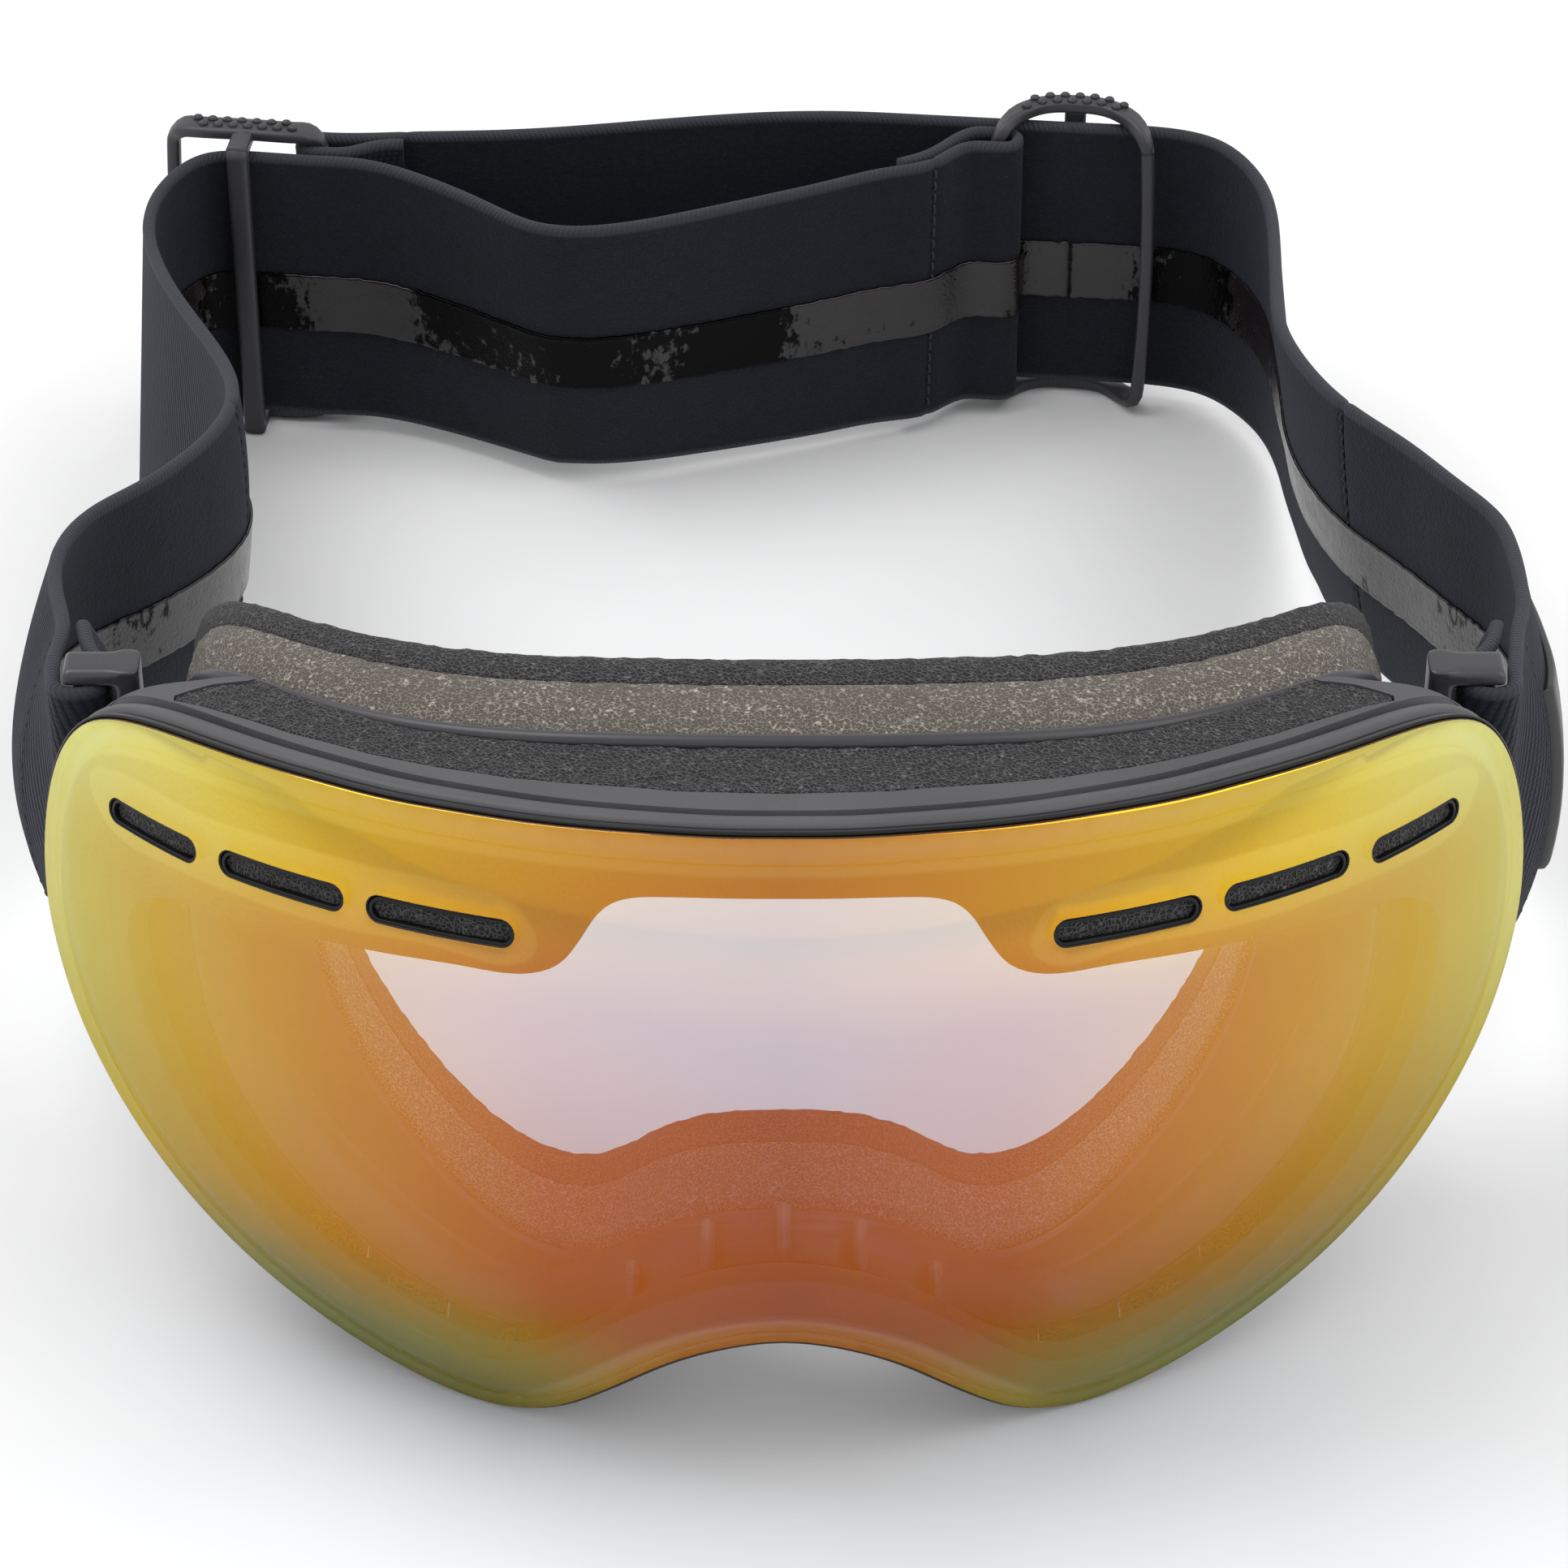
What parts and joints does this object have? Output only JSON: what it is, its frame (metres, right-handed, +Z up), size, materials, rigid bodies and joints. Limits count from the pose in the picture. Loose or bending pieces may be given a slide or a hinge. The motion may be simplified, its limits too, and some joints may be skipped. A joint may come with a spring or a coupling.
{
  "type": "ski goggles",
  "caption": "Spherical double-lens ski goggles with vented frame, face foam, outriggers and a two-part elastic strap with ladder-lock sliders.",
  "frame": {"origin": "middle of the whole goggles' length and width, on the surface they stand on", "axes": "+Z up, lens faces -Y, strap runs back along +Y, +X is the right-hand side seen from in front"},
  "size_m": [0.1943, 0.2486, 0.0943],
  "materials": {
    "mirror_lens": "glossy orange mirror",
    "clear_lens": "glossy",
    "spacer": "matte",
    "ring_plastic": "satin",
    "liner_plastic": "satin",
    "vent_foam": "open-cell foam",
    "frame_plastic": "matte",
    "soft_frame": "satin",
    "base_foam": "open-cell foam",
    "top_foam": "open-cell foam",
    "lining": "fleece",
    "hook_plastic": "satin",
    "webbing": "knitted elastic",
    "silicone": "glossy",
    "thread": "twisted thread",
    "badge": "satin",
    "slider_plastic": "satin"
  },
  "bodies": {
    "lens_module": {"outer_lens": "mirror_lens", "inner_lens": "clear_lens", "lens_gasket": "spacer", "lens_carrier": "ring_plastic", "lens_vent_liner_left": "liner_plastic", "lens_vent_liner_right": "liner_plastic", "lens_vent_foam_left": "vent_foam", "lens_vent_foam_right": "vent_foam"},
    "root": {"outer_frame": "frame_plastic", "face_frame": "soft_frame", "top_vent_foam": "vent_foam", "lower_vent_foam_left": "vent_foam", "lower_vent_foam_right": "vent_foam", "face_foam_base": "base_foam", "face_foam_top": "top_foam", "face_lining": "lining", "left_outrigger": "hook_plastic", "right_outrigger": "hook_plastic", "left_strap": "webbing", "right_strap": "webbing", "left_strap_grip": "silicone", "right_strap_grip": "silicone"},
    "left_tab": {"left_strap_tab": "webbing", "left_tab_grip": "silicone", "left_loop_stitching": "thread", "left_seam_stitching": "thread"},
    "right_tab": {"right_strap_tab": "webbing", "right_tab_grip": "silicone", "right_loop_stitching": "thread", "right_seam_stitching": "thread", "strap_badge": "badge"},
    "left_slider_body": {"left_slider": "slider_plastic", "right_end_stitching": "thread"},
    "right_slider_body": {"right_slider": "slider_plastic", "left_end_stitching": "thread"}
  },
  "joints": [
    {"name": "lens_release", "type": "slide", "parent": "root", "child": "lens_module", "axis": [0, -1, 0], "range_m": [0, 0.03]},
    {"name": "left_slider_adjust", "type": "slide", "parent": "root", "child": "left_slider_body", "axis": [0.9929, -0.1191, 0], "range_m": [0, 0.016], "deforming": ["left_strap", "right_strap", "left_strap_grip", "right_strap_grip"]},
    {"name": "right_slider_adjust", "type": "slide", "parent": "root", "child": "right_slider_body", "axis": [-0.995, 0.0995, 0], "range_m": [0, 0.025], "deforming": ["left_strap", "right_strap", "left_strap_grip", "right_strap_grip"]},
    {"name": "left_strap_swing", "type": "hinge", "parent": "root", "child": "left_tab", "pos_m": [-0.0846, -0.05835, 0.05], "axis": [0, 0, 1], "range_deg": [-8, 14], "deforming": ["left_strap"]},
    {"name": "right_strap_swing", "type": "hinge", "parent": "root", "child": "right_tab", "pos_m": [0.0846, -0.05835, 0.05], "axis": [0, 0, -1], "range_deg": [-8, 14], "deforming": ["right_strap"]}
  ]
}
